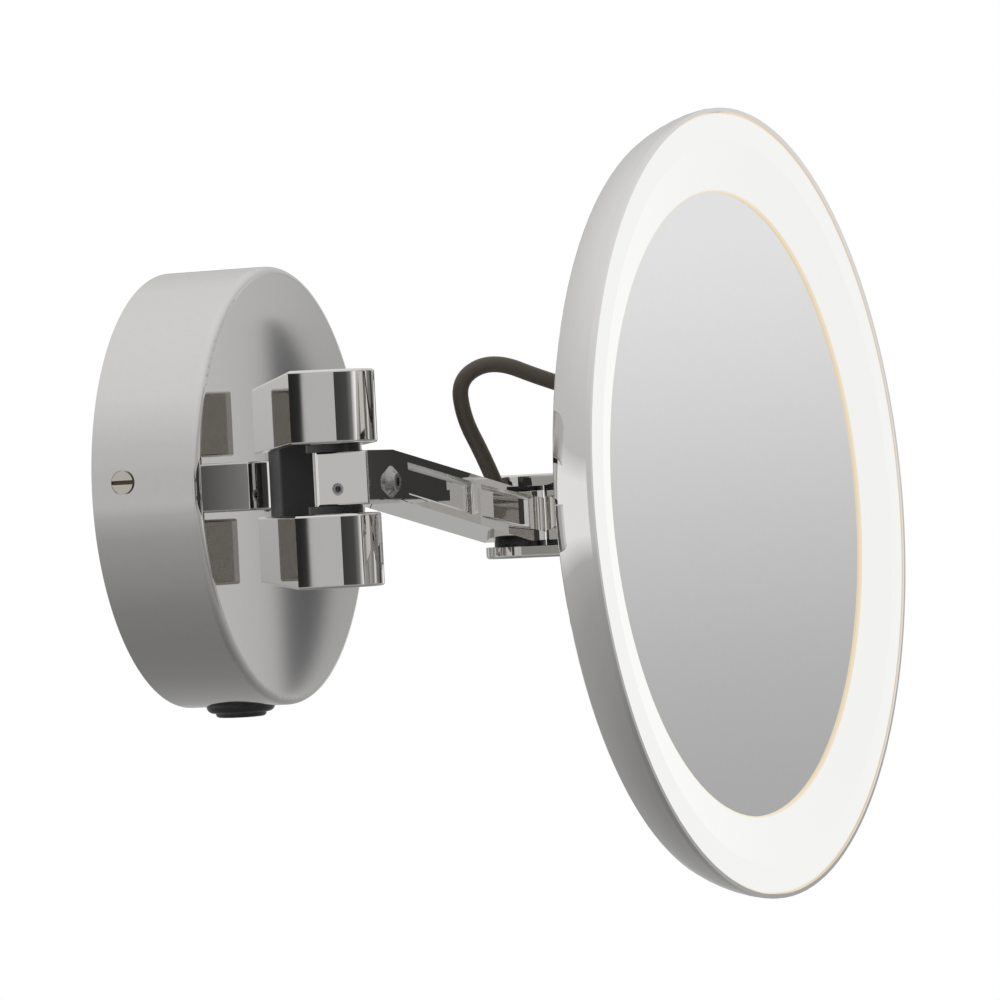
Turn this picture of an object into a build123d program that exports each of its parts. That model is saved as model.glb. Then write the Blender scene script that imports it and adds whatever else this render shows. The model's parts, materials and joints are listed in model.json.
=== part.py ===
# Extendable wall mirror with a lit rim: base, double arm, swivel link and mirror head.
# Millimetres. The origin is the centre of the base's back on the wall, +Z is up,
# and the mirror stands out from the wall along -Y.
import math
import os

from build123d import *

# Base
base_radius = 60.0
base_depth = 30.5
cover_wall = 1.5
cover_edge_fillet = 2.0
plate_thickness = 2.0
plate_clearance = 0.5
tab_width = 12.0
tab_thickness = 4.0
tab_inset = 0.5
tab_length = 14.0
slot_spacing = 76.0
slot_length = 9.0
slot_radius = 2.25
cable_hole_radius = 8.0

# Screws that hold the cover to the tabs of the wall plate
cover_screw_radius = 2.0
cover_screw_head_radius = 3.0
cover_screw_head_sunk = 0.9
cover_screw_head_proud = 0.5
cover_screw_depth = 9.0
cover_screw_height = 2.5
cover_screw_seat_clearance = 0.35
screw_slot_width = 1.1
screw_slot_depth = 1.1
screw_clearance = 0.1

# Switch under the base
switch_depth = 13.5
switch_radius = 8.0
switch_length = 16.0
switch_hole_clearance = 0.2
bezel_radius = 9.5
bezel_height = 2.5
bezel_seat_drop = 0.8
bezel_edge_fillet = 2.0
bezel_fillet_share = 0.9
button_radius = 7.0
button_clearance = 0.15
button_proud = 1.2
button_travel = 1.0
button_end_gap = 0.3
button_edge_fillet = 1.0

# Electrics in the base
driver_size = (50.0, 18.0, 24.0)
driver_height = 24.0
terminal_size = (26.0, 13.0, 13.0)
terminal_place = (-24.0, -24.0)

# Pins, washers and running fits
pin_radius = 2.5
fixed_clearance = 0.02
running_clearance = 0.05
washer_radius = 6.5
washer_clearance = 0.05
pin_end_inset = 0.5
set_screw_radius = 1.5
set_screw_inset = 0.3

# First arm: two bars, one above the other
pivot_a_x = -33.5
pivot_a_standoff = 17.5
arm_1_length = 103.2
arm_1_angle = 206.9
bar_width = 21.5
bar_height = 17.6
bar_gap = 16.6
bar_end = 10.75
bar_edge_fillet = 0.7
bar_corner_fillet = 0.8
web_start = 24.0
web_length = 36.0
web_width = 19.5
bar_screw_radius = 2.0
bar_screw_head_radius = 3.6
bar_screw_head_height = 3.0
bar_screw_head_sunk = 0.5
bar_screw_grip = 6.0
bar_screw_margin = 7.0

# Lug that carries the first pin
lug_radius = 14.0
lug_height = 13.0
lug_neck_width = 18.0
lug_edge_fillet = 0.6
lug_screw_radius = 2.0
lug_screw_head_radius = 3.5
lug_screw_head_height = 2.5
lug_screw_spacing = 10.0
lug_screw_grip = 7.0
set_screw_a_angle = 145.0
set_screw_a_drop = 2.5

# Second arm: one bar that slopes down to the swivel
arm_2_length = 98.0
arm_2_angle = -4.44
arm_2_width = 13.5
arm_2_height = 12.8
arm_2_offset = 4.75
arm_2_drop = 11.5
arm_2_nose = 5.5
arm_2_level_top = 9.0
arm_2_level_bottom = 16.0
arm_2_level_end = 8.0
arm_2_edge_fillet = 0.5
arm_2_boss_radius = 5.0
arm_2_barrel_radius = 6.2
pocket_fillet = 1.2
pocket_depth = 2.0
pocket_border = 2.0
pocket_rib = 2.5
pocket_start = 17.0
pocket_end_margin = -2.0
set_screw_b_offset = 3.5
set_screw_b_drop = 2.5

# Swivel link between the second arm and the head
swivel_angle = 262.85
link_length = 44.75
swivel_washer_thickness = 1.3
clevis_plate_thickness = 3.0
clevis_radius = 9.0
clevis_length = 26.0
clevis_width = 16.0
clevis_edge_fillet = 0.8
link_start = 14.0
link_width = 12.0
link_nose_start = 8.6
link_nose_width = 4.0
neck_width = 12.0
neck_height = 10.0
tilt_barrel_radius = 6.0
clevis_screw_radius = 1.5
clevis_screw_head_radius = 2.6
clevis_screw_head_height = 1.5
clevis_screw_grip = 5.0
clevis_screw_spacing = 6.0
clevis_screw_x = 20.0

# Mirror head
head_pitch = 1.75
head_radius = 100.0
head_taper = 4.0
rim_bulge = 0.6
head_rim = 5.8
head_depth = 11.8
head_wall = 1.6
head_lip = 1.0
head_lip_depth = 1.8
head_band = 1.2
head_back_fillet = 1.0
tilt_standoff = 12.0
bracket_radius = 20.0
bracket_thickness = 3.0
ear_thickness = 3.8
ear_radius = 6.0
tilt_washer_thickness = 1.1
axle_radius = 2.0
axle_proud = 2.0
bracket_screw_circle = 15.0
bracket_screw_radius = 1.5
bracket_screw_head_radius = 2.6
bracket_screw_head_height = 2.0
bracket_screw_count = 4
mirror_thickness = 3.2
mirror_lap = 2.5
pad_margin = 11.8
mirror_recess = 5.3
ring_width = 19.5
ring_step = 1.6
ring_slope_width = 12.5
ring_inner_edge = 0.6
ring_inset = 0.6
ring_clearance = 0.2
ring_flange_gap = 0.1
board_width = 10.0
board_clearance = 0.2
board_thickness = 1.2
led_size = (3.5, 2.8, 0.8)
led_count = 36

# Flex and the grommets that it passes through
flex_radius = 2.05
grommet_hole_clearance = 0.05
grommet_radius = 3.1
grommet_seat_clearance = 0.05
arm_grommet_setback = 12.6
arm_grommet_sunk = 3.0
arm_grommet_proud = 1.0
head_grommet_x = 0.0
head_grommet_y = 28.0
head_grommet_proud = 3.0
# Route of the flex seen from the swivel pin: towards the mirror, sideways, up.
flex_route = [
    (-2.9, -23.4, 26.0),
    (-2.2, -26.2, 36.0),
    (6.2, -23.0, 40.6),
    (17.5, -16.5, 36.5),
    (30.0, -8.5, 31.0),
]
flex_first_run = (-1.1, -4.4, 8.0)
flex_last_run = 11.0
bend_ratio = 0.45

os.makedirs("parts", exist_ok=True)


def heading(angle):
    """Unit vector in the level plane at an angle from +X."""
    return Vector(math.cos(math.radians(angle)), math.sin(math.radians(angle)), 0)


def rod(plane, radius, start, end, mode=Mode.ADD):
    """Round bar along the plane's normal, between two distances from the plane."""
    with BuildSketch(plane.offset(start)) as outline:
        Circle(radius)
    extrude(outline.sketch, amount=end - start, mode=mode)


def ring(plane, inner, outer, start, end):
    """Flat ring around the plane's normal."""
    with BuildSketch(plane.offset(start)) as outline:
        Circle(outer)
        Circle(inner, mode=Mode.SUBTRACT)
    extrude(outline.sketch, amount=end - start)


def block(plane, along, across, start, end, mode=Mode.ADD):
    """Block over the ranges along the plane's x and y, between two distances from the plane."""
    with BuildSketch(plane.offset(start)) as outline:
        with Locations(((along[0] + along[1]) / 2, (across[0] + across[1]) / 2)):
            Rectangle(along[1] - along[0], across[1] - across[0])
    extrude(outline.sketch, amount=end - start, mode=mode)


def finish(piece, label):
    """Name the piece and write it."""
    piece.part.label = label
    export_step(piece.part, f"parts/{label}.step")


# Places and frames
cover_inner = base_radius - cover_wall
front_face = -base_depth
pivot_a = Vector(pivot_a_x, front_face - pivot_a_standoff, 0)
arm_1_plane = Plane(pivot_a, x_dir=heading(arm_1_angle), z_dir=(0, 0, 1))
pivot_b = pivot_a + heading(arm_1_angle) * arm_1_length
arm_2_plane = Plane(pivot_b, x_dir=heading(arm_2_angle), z_dir=(0, 0, 1))
arm_2_side = Plane(pivot_b, x_dir=heading(arm_2_angle), z_dir=-arm_2_plane.y_dir)
pivot_c = arm_2_plane.from_local_coords(Vector(arm_2_length, -arm_2_offset, -arm_2_drop))
swivel_plane = Plane(pivot_c, x_dir=heading(swivel_angle), z_dir=(0, 0, 1))
tilt_axis = swivel_plane.from_local_coords(Vector(link_length, 0, 0))
pitch = math.radians(head_pitch)
head_normal = heading(swivel_angle) * math.cos(pitch) + Vector(0, 0, math.sin(pitch))
head_plane = Plane(tilt_axis, x_dir=swivel_plane.y_dir, z_dir=head_normal)
head_section = Plane(tilt_axis, x_dir=head_plane.x_dir, z_dir=-head_plane.y_dir)
tilt_plane = Plane(tilt_axis, x_dir=heading(swivel_angle), z_dir=swivel_plane.y_dir)
ear_plane = Plane(tilt_axis, x_dir=head_normal, z_dir=head_plane.x_dir)
wall_plane = Plane((0, 0, 0), x_dir=(1, 0, 0), z_dir=(0, -1, 0))
switch_plane = Plane((0, -switch_depth, 0), x_dir=(1, 0, 0), z_dir=(0, 0, -1))
screw_planes = [
    Plane((0, -cover_screw_depth, cover_screw_height), x_dir=(0, 1, 0), z_dir=(side, 0, 0))
    for side in (-1, 1)
]

# Base
plate_radius = cover_inner - plate_clearance
tab_outer = math.sqrt(plate_radius**2 - (tab_width / 2 + cover_screw_height) ** 2) - tab_inset
head_seat = base_radius - cover_screw_head_sunk

with BuildPart() as wall_plate:
    rod(wall_plane, plate_radius, 0, plate_thickness)
    for plane in screw_planes:
        block(
            plane,
            (cover_screw_depth - tab_length, cover_screw_depth - plate_thickness / 2),
            (-tab_width / 2, tab_width / 2),
            tab_outer - tab_thickness,
            tab_outer,
        )
        tapped = cover_screw_radius + fixed_clearance
        rod(plane, tapped, tab_outer - tab_thickness, tab_outer, mode=Mode.SUBTRACT)
    with BuildSketch(wall_plane):
        with Locations((-slot_spacing / 2, 0), (slot_spacing / 2, 0)):
            SlotOverall(slot_length, 2 * slot_radius)
        Circle(cable_hole_radius)
    extrude(amount=plate_thickness, mode=Mode.SUBTRACT)
finish(wall_plate, "wall_plate")

bezel_seat = base_radius - bezel_seat_drop
lug_screw_places = [
    (pivot_a_x - lug_screw_spacing / 2, 0),
    (pivot_a_x + lug_screw_spacing / 2, 0),
]

with BuildPart() as base_cover:
    rod(wall_plane, base_radius, 0, base_depth)
    fillet(base_cover.faces().sort_by(Axis.Y)[0].edges(), cover_edge_fillet)
    rod(wall_plane, cover_inner, 0, base_depth - cover_wall, mode=Mode.SUBTRACT)
    for plane in screw_planes:
        screw_hole = cover_screw_radius + screw_clearance
        rod(plane, screw_hole, cover_inner - cover_wall, base_radius, mode=Mode.SUBTRACT)
        seat_hole = cover_screw_head_radius + cover_screw_seat_clearance
        rod(plane, seat_hole, head_seat, base_radius + cover_wall, mode=Mode.SUBTRACT)
    switch_hole = switch_radius + switch_hole_clearance
    rod(switch_plane, switch_hole, cover_inner - cover_wall, base_radius, mode=Mode.SUBTRACT)
    seat_hole = bezel_radius + switch_hole_clearance
    rod(switch_plane, seat_hole, bezel_seat, base_radius + cover_wall, mode=Mode.SUBTRACT)
    with BuildSketch(wall_plane):
        with Locations(*lug_screw_places):
            Circle(lug_screw_radius + screw_clearance)
    extrude(amount=base_depth, mode=Mode.SUBTRACT)
finish(base_cover, "base_cover")

with BuildPart() as cover_screws:
    for plane in screw_planes:
        rod(plane, cover_screw_radius, tab_outer - tab_thickness, head_seat)
        head_top = base_radius + cover_screw_head_proud
        rod(plane, cover_screw_head_radius, head_seat, head_top)
        slot_half = screw_slot_width / 2
        reach = cover_screw_head_radius + screw_clearance
        block(
            plane,
            (-reach, reach),
            (-slot_half, slot_half),
            head_top - screw_slot_depth,
            head_top,
            mode=Mode.SUBTRACT,
        )
finish(cover_screws, "cover_screws")

with BuildPart() as switch_bezel:
    bore = button_radius + button_clearance
    ring(switch_plane, bore, bezel_radius, bezel_seat, bezel_seat + bezel_height)
    bezel_limit = bezel_fillet_share * min(bezel_radius - bore, bezel_height)
    bezel_rim = switch_bezel.edges().group_by(Axis.Z)[0].sort_by(SortBy.RADIUS)[-1]
    fillet(bezel_rim, min(bezel_edge_fillet, bezel_limit))
finish(switch_bezel, "switch_bezel")

button_top = bezel_seat + bezel_height + button_proud
with BuildPart() as switch_button:
    rod(switch_plane, button_radius, bezel_seat, button_top)
    fillet(switch_button.edges().sort_by(Axis.Z)[:1], button_edge_fillet)
finish(switch_button, "switch_button")

with BuildPart() as switch_body:
    rod(switch_plane, switch_radius, bezel_seat - switch_length, bezel_seat)
    bore = button_radius + button_clearance
    well = bezel_seat - button_travel - button_end_gap
    rod(switch_plane, bore, well, bezel_seat, mode=Mode.SUBTRACT)
finish(switch_body, "switch_body")

with BuildPart() as led_driver:
    block(
        wall_plane,
        (-driver_size[0] / 2, driver_size[0] / 2),
        (driver_height - driver_size[2] / 2, driver_height + driver_size[2] / 2),
        plate_thickness,
        plate_thickness + driver_size[1],
    )
finish(led_driver, "led_driver")

with BuildPart() as terminal_block:
    block(
        wall_plane,
        (terminal_place[0] - terminal_size[0] / 2, terminal_place[0] + terminal_size[0] / 2),
        (terminal_place[1] - terminal_size[2] / 2, terminal_place[1] + terminal_size[2] / 2),
        plate_thickness,
        plate_thickness + terminal_size[1],
    )
finish(terminal_block, "terminal_block")

# Lug and first pivot
lug_half = lug_height / 2
gap_half = bar_gap / 2
bar_top = gap_half + bar_height
set_a_plane = Plane(
    pivot_a + Vector(0, 0, -set_screw_a_drop), x_dir=(0, 0, 1), z_dir=heading(set_screw_a_angle)
)

with BuildPart() as base_lug:
    rod(Plane(pivot_a), lug_radius, -lug_half, lug_half)
    block(
        wall_plane,
        (pivot_a_x - lug_neck_width / 2, pivot_a_x + lug_neck_width / 2),
        (-lug_half, lug_half),
        base_depth,
        base_depth + pivot_a_standoff,
    )
    fillet(base_lug.edges().group_by(Axis.Z)[0] + base_lug.edges().group_by(Axis.Z)[-1], lug_edge_fillet)
    rod(Plane(pivot_a), pin_radius + fixed_clearance, -lug_half, lug_half, mode=Mode.SUBTRACT)
    tapped = set_screw_radius + fixed_clearance
    rod(set_a_plane, tapped, 0, lug_radius + set_screw_inset, mode=Mode.SUBTRACT)
    with BuildSketch(wall_plane.offset(base_depth)):
        with Locations(*lug_screw_places):
            Circle(lug_screw_radius + fixed_clearance)
    extrude(amount=lug_screw_grip, mode=Mode.SUBTRACT)
finish(base_lug, "base_lug")

with BuildPart() as lug_screws:
    head_face = base_depth - cover_wall
    for place in lug_screw_places:
        plane = Plane(wall_plane.from_local_coords(Vector(place[0], place[1], 0)), z_dir=(0, -1, 0))
        rod(plane, lug_screw_head_radius, head_face - lug_screw_head_height, head_face)
        rod(plane, lug_screw_radius, head_face, base_depth + lug_screw_grip)
finish(lug_screws, "lug_screws")

with BuildPart() as pivot_a_pin:
    rod(Plane(pivot_a), pin_radius, -bar_top + pin_end_inset, bar_top - pin_end_inset)
finish(pivot_a_pin, "pivot_a_pin")

with BuildPart() as set_screw_a:
    rod(set_a_plane, set_screw_radius, pin_radius, lug_radius - set_screw_inset)
finish(set_screw_a, "set_screw_a")

with BuildPart() as pivot_a_washers:
    hole = pin_radius + running_clearance
    low, high = lug_half + washer_clearance, gap_half - washer_clearance
    ring(Plane(pivot_a), hole, washer_radius, low, high)
    ring(Plane(pivot_a), hole, washer_radius, -high, -low)
finish(pivot_a_washers, "pivot_a_washers")

# First arm
web_end = web_start + web_length
bar_screw_places = [(web_start + bar_screw_margin, 0), (web_end - bar_screw_margin, 0)]
head_bottom = bar_top - bar_screw_head_sunk - bar_screw_head_height


def make_bar(low, high, outer, label):
    """One bar of the first arm: square on its inner side, round on its outer side."""
    with BuildPart() as bar:
        with BuildSketch(arm_1_plane.offset(low)) as outline:
            with Locations((arm_1_length / 2, 0)):
                Rectangle(arm_1_length + 2 * bar_end, bar_width)
            corners = outline.vertices().group_by(Axis.Y)
            fillet(corners[-1], min(bar_width / 2, bar_end))
            fillet(corners[0], bar_corner_fillet)
        extrude(amount=high - low)
        faces = bar.faces().sort_by(Axis.Z)
        fillet(faces[0].edges() + faces[-1].edges(), bar_edge_fillet)
        with BuildSketch(arm_1_plane.offset(low)):
            with Locations((0, 0), (arm_1_length, 0)):
                Circle(pin_radius + running_clearance)
            with Locations(*bar_screw_places):
                Circle(bar_screw_radius + screw_clearance)
        extrude(amount=high - low, mode=Mode.SUBTRACT)
        with BuildSketch(arm_1_plane.offset(outer * head_bottom)):
            with Locations(*bar_screw_places):
                Circle(bar_screw_head_radius + screw_clearance)
        extrude(amount=outer * (bar_top - head_bottom), mode=Mode.SUBTRACT)
    finish(bar, label)


make_bar(gap_half, bar_top, 1, "upper_bar")
make_bar(-bar_top, -gap_half, -1, "lower_bar")

with BuildPart() as bar_web:
    block(arm_1_plane, (web_start, web_end), (-web_width / 2, web_width / 2), -gap_half, gap_half)
    fillet(bar_web.edges().filter_by(Axis.Z), bar_edge_fillet)
    for side in (-1, 1):
        with BuildSketch(arm_1_plane.offset(side * (gap_half - bar_screw_grip))):
            with Locations(*bar_screw_places):
                Circle(bar_screw_radius + fixed_clearance)
        extrude(amount=side * bar_screw_grip, mode=Mode.SUBTRACT)
finish(bar_web, "bar_web")

with BuildPart() as bar_screws:
    for side in (-1, 1):
        with BuildSketch(arm_1_plane.offset(side * (gap_half - bar_screw_grip))):
            with Locations(*bar_screw_places):
                Circle(bar_screw_radius)
        extrude(amount=side * (head_bottom - gap_half + bar_screw_grip))
        with BuildSketch(arm_1_plane.offset(side * head_bottom)):
            with Locations(*bar_screw_places):
                Circle(bar_screw_head_radius)
        extrude(amount=side * bar_screw_head_height)
finish(bar_screws, "bar_screws")

# Second arm
arm_2_half = arm_2_height / 2
slope_end = arm_2_length - arm_2_level_end
arm_2_tip = arm_2_length + arm_2_width / 2
arm_2_inner = arm_2_width / 2 - arm_2_offset
arm_2_outer = arm_2_width / 2 + arm_2_offset


def arm_2_top(x):
    """Height of the second arm's top above the first pins' mid height."""
    share = (x - arm_2_level_top) / (slope_end - arm_2_level_top)
    return arm_2_half - arm_2_drop * min(max(share, 0), 1)


def arm_2_bottom(x):
    """Height of the second arm's underside."""
    share = (x - arm_2_level_bottom) / (slope_end - arm_2_level_bottom)
    return -arm_2_half - arm_2_drop * min(max(share, 0), 1)


grommet_x = arm_2_length - arm_grommet_setback
arm_grommet_seat = arm_2_top(grommet_x)
flex_lean = swivel_plane.from_local_coords(Vector(*flex_first_run)) - pivot_c
arm_grommet_plane = Plane(
    arm_2_plane.from_local_coords(Vector(grommet_x, -arm_2_offset, arm_grommet_seat)), z_dir=flex_lean
)
set_b_plane = Plane(
    arm_2_plane.from_local_coords(Vector(0, -set_screw_b_offset, -set_screw_b_drop)),
    z_dir=-heading(arm_2_angle),
)
pocket_middle = (pocket_start + arm_2_length - pocket_end_margin) / 2
pocket_spans = [
    (pocket_start, pocket_middle - pocket_rib / 2),
    (pocket_middle + pocket_rib / 2, arm_2_length - pocket_end_margin),
]

with BuildPart() as arm_2_bar:
    with BuildSketch(arm_2_side.offset(-arm_2_inner)):
        with BuildLine():
            Polyline(
                (-arm_2_nose, arm_2_half),
                (arm_2_level_top, arm_2_half),
                (slope_end, arm_2_half - arm_2_drop),
                (arm_2_tip, arm_2_half - arm_2_drop),
                (arm_2_tip, -arm_2_half - arm_2_drop),
                (slope_end, -arm_2_half - arm_2_drop),
                (arm_2_level_bottom, -arm_2_half),
                (-arm_2_nose, -arm_2_half),
                close=True,
            )
        make_face()
    extrude(amount=arm_2_width)
    with BuildSketch(arm_2_plane.offset(-arm_2_half - arm_2_drop)):
        with Locations(((arm_2_length - arm_2_nose) / 2, -arm_2_offset)):
            Rectangle(arm_2_length + arm_2_nose, arm_2_width)
        with Locations((arm_2_length, -arm_2_offset)):
            Circle(arm_2_width / 2)
    extrude(amount=arm_2_height + arm_2_drop, mode=Mode.INTERSECT)
    nose_edges = arm_2_bar.faces().sort_by(Axis(pivot_b, heading(arm_2_angle)))[0].edges()
    fillet(nose_edges, arm_2_edge_fillet)
    for face_distance, side in ((arm_2_outer, -1), (-arm_2_inner, 1)):
        with BuildSketch(arm_2_side.offset(face_distance)):
            for start, end in pocket_spans:
                with BuildLine():
                    Polyline(
                        (start, arm_2_top(start) - pocket_border),
                        (end, arm_2_top(end) - pocket_border),
                        (end, arm_2_bottom(end) + pocket_border),
                        (start, arm_2_bottom(start) + pocket_border),
                        close=True,
                    )
                make_face()
        extrude(amount=side * pocket_depth, mode=Mode.SUBTRACT)
        floor_plane = arm_2_side.offset(face_distance + side * pocket_depth)
        floors = arm_2_bar.faces().filter_by(floor_plane)
        depths = [abs(floor_plane.to_local_coords(face.center()).Z) for face in floors]
        floors = [face for face, depth in zip(floors, depths) if depth < fixed_clearance]
        fillet([edge for face in floors for edge in face.edges()], pocket_fillet)
    rod(arm_2_plane, arm_2_boss_radius, -arm_2_half, arm_2_half)
    rod(swivel_plane, arm_2_barrel_radius, -arm_2_half, arm_2_half)
    fixed_hole = pin_radius + fixed_clearance
    rod(arm_2_plane, fixed_hole, -arm_2_half, arm_2_half, mode=Mode.SUBTRACT)
    running_hole = pin_radius + running_clearance
    rod(swivel_plane, running_hole, -arm_2_half, arm_2_half, mode=Mode.SUBTRACT)
    tapped = set_screw_radius + fixed_clearance
    rod(set_b_plane, tapped, 0, arm_2_nose, mode=Mode.SUBTRACT)
    seat_radius = grommet_radius + grommet_seat_clearance
    rod(arm_grommet_plane, seat_radius, -arm_grommet_sunk, arm_2_height, mode=Mode.SUBTRACT)
finish(arm_2_bar, "arm_2_bar")

with BuildPart() as pivot_b_pin:
    rod(Plane(pivot_b), pin_radius, -bar_top + pin_end_inset, bar_top - pin_end_inset)
finish(pivot_b_pin, "pivot_b_pin")

with BuildPart() as pivot_b_washers:
    hole = pin_radius + running_clearance
    low, high = arm_2_half + washer_clearance, gap_half - washer_clearance
    ring(Plane(pivot_b), hole, washer_radius, low, high)
    ring(Plane(pivot_b), hole, washer_radius, -high, -low)
finish(pivot_b_washers, "pivot_b_washers")

with BuildPart() as set_screw_b:
    rod(set_b_plane, set_screw_radius, pin_radius, arm_2_nose - set_screw_inset)
finish(set_screw_b, "set_screw_b")

with BuildPart() as arm_grommet:
    hole = flex_radius + grommet_hole_clearance
    ring(arm_grommet_plane, hole, grommet_radius, -arm_grommet_sunk, arm_grommet_proud)
finish(arm_grommet, "arm_grommet")

# Swivel link
plate_inner = arm_2_half + swivel_washer_thickness + 2 * washer_clearance
plate_outer = plate_inner + clevis_plate_thickness
clevis_screw_places = [
    (clevis_screw_x - clevis_screw_spacing / 2, 0),
    (clevis_screw_x + clevis_screw_spacing / 2, 0),
]


def make_clevis_plate(side, label):
    """One of the two plates that hold the swivel pin."""
    with BuildPart() as plate:
        with BuildSketch(swivel_plane.offset(side * plate_inner)):
            Circle(clevis_radius)
            with Locations((clevis_length / 2, 0)):
                Rectangle(clevis_length, clevis_width)
        extrude(amount=side * clevis_plate_thickness)
        outer_face = plate.faces().sort_by(Axis.Z)[-1 if side > 0 else 0]
        fillet(outer_face.edges(), clevis_edge_fillet)
        rod(swivel_plane, pin_radius + fixed_clearance, -plate_outer, plate_outer, mode=Mode.SUBTRACT)
        with BuildSketch(swivel_plane.offset(side * plate_inner)):
            with Locations(*clevis_screw_places):
                Circle(clevis_screw_radius + screw_clearance)
        extrude(amount=side * clevis_plate_thickness, mode=Mode.SUBTRACT)
    finish(plate, label)


make_clevis_plate(1, "clevis_upper")
make_clevis_plate(-1, "clevis_lower")

with BuildPart() as pivot_c_pin:
    rod(swivel_plane, pin_radius, -plate_outer, plate_outer)
finish(pivot_c_pin, "pivot_c_pin")

with BuildPart() as pivot_c_washers:
    hole = pin_radius + running_clearance
    washer_outer = arm_2_width / 2
    low = arm_2_half + washer_clearance
    high = low + swivel_washer_thickness
    ring(swivel_plane, hole, washer_outer, low, high)
    ring(swivel_plane, hole, washer_outer, -high, -low)
finish(pivot_c_washers, "pivot_c_washers")

with BuildPart() as link_block:
    with BuildSketch(swivel_plane.offset(-plate_inner)):
        with BuildLine():
            Polyline(
                (link_nose_start, -link_nose_width / 2),
                (link_start, -link_width / 2),
                (clevis_length, -link_width / 2),
                (clevis_length, link_width / 2),
                (link_start, link_width / 2),
                (link_nose_start, link_nose_width / 2),
                close=True,
            )
        make_face()
    extrude(amount=2 * plate_inner)
    block(
        swivel_plane,
        (clevis_length, link_length),
        (-neck_width / 2, neck_width / 2),
        -neck_height / 2,
        neck_height / 2,
    )
    rod(tilt_plane, tilt_barrel_radius, -neck_width / 2, neck_width / 2)
    rod(tilt_plane, axle_radius + running_clearance, -neck_width / 2, neck_width / 2, mode=Mode.SUBTRACT)
    for side in (-1, 1):
        with BuildSketch(swivel_plane.offset(side * (plate_inner - clevis_screw_grip))):
            with Locations(*clevis_screw_places):
                Circle(clevis_screw_radius + fixed_clearance)
        extrude(amount=side * clevis_screw_grip, mode=Mode.SUBTRACT)
finish(link_block, "link_block")

with BuildPart() as clevis_screws:
    for side in (-1, 1):
        with BuildSketch(swivel_plane.offset(side * (plate_inner - clevis_screw_grip))):
            with Locations(*clevis_screw_places):
                Circle(clevis_screw_radius)
        extrude(amount=side * (clevis_plate_thickness + clevis_screw_grip))
        with BuildSketch(swivel_plane.offset(side * plate_outer)):
            with Locations(*clevis_screw_places):
                Circle(clevis_screw_head_radius)
        extrude(amount=side * clevis_screw_head_height)
finish(clevis_screws, "clevis_screws")

ear_inner = neck_width / 2 + tilt_washer_thickness + 2 * washer_clearance
ear_outer = ear_inner + ear_thickness

with BuildPart() as tilt_washers:
    hole = axle_radius + running_clearance
    low = neck_width / 2 + washer_clearance
    high = low + tilt_washer_thickness
    ring(tilt_plane, hole, ear_radius, low, high)
    ring(tilt_plane, hole, ear_radius, -high, -low)
finish(tilt_washers, "tilt_washers")

# Mirror head
head_back = tilt_standoff
head_front = head_back + head_depth
head_inside = head_back + head_wall
band_low = head_front - head_band
lip_inner = head_radius - head_lip
lip_step = head_front - head_lip_depth
head_back_radius = head_radius - head_taper
head_bore_radius = head_radius - head_rim
ring_flange_radius = lip_inner - ring_clearance
ring_body_radius = ring_flange_radius - ring_step
ring_inner_radius = ring_flange_radius - ring_width
mirror_radius = ring_inner_radius + mirror_lap
pad_radius = mirror_radius - pad_margin
board_outer_radius = head_bore_radius - board_clearance
board_inner_radius = board_outer_radius - board_width
led_circle = (board_outer_radius + board_inner_radius) / 2
mirror_front = head_front - mirror_recess
mirror_back = mirror_front - mirror_thickness
bracket_screw_turn = 180 / bracket_screw_count

with BuildPart() as head_bracket:
    rod(head_plane, bracket_radius, head_back - bracket_thickness, head_back)
    for side in (-1, 1):
        low, high = sorted((side * ear_inner, side * ear_outer))
        rod(ear_plane, ear_radius, low, high)
        block(ear_plane, (0, head_back - bracket_thickness), (-ear_radius, ear_radius), low, high)
    rod(ear_plane, axle_radius + fixed_clearance, -ear_outer, ear_outer, mode=Mode.SUBTRACT)
    with BuildSketch(head_plane):
        with PolarLocations(bracket_screw_circle, bracket_screw_count, start_angle=bracket_screw_turn):
            Circle(bracket_screw_radius + screw_clearance)
    extrude(amount=head_back, mode=Mode.SUBTRACT)
finish(head_bracket, "head_bracket")

with BuildPart() as tilt_axle:
    rod(ear_plane, axle_radius, -ear_outer - axle_proud, ear_outer + axle_proud)
finish(tilt_axle, "tilt_axle")

with BuildPart() as bracket_screws:
    head_low = head_back - bracket_thickness - bracket_screw_head_height
    with BuildSketch(head_plane.offset(head_low)):
        with PolarLocations(bracket_screw_circle, bracket_screw_count, start_angle=bracket_screw_turn):
            Circle(bracket_screw_head_radius)
    extrude(amount=bracket_screw_head_height)
    with BuildSketch(head_plane.offset(head_back - bracket_thickness)):
        with PolarLocations(bracket_screw_circle, bracket_screw_count, start_angle=bracket_screw_turn):
            Circle(bracket_screw_radius)
    extrude(amount=bracket_thickness + head_wall)
finish(bracket_screws, "bracket_screws")

head_grommet_plane = Plane(
    head_plane.from_local_coords(Vector(head_grommet_x, head_grommet_y, head_back)), z_dir=head_normal
)

rim_chord = Vector(head_taper, band_low - head_back)
rim_outward = Vector(rim_chord.Y, -rim_chord.X).normalized()
rim_middle = Vector(head_back_radius, head_back) + rim_chord * 0.5 + rim_outward * rim_bulge

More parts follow.
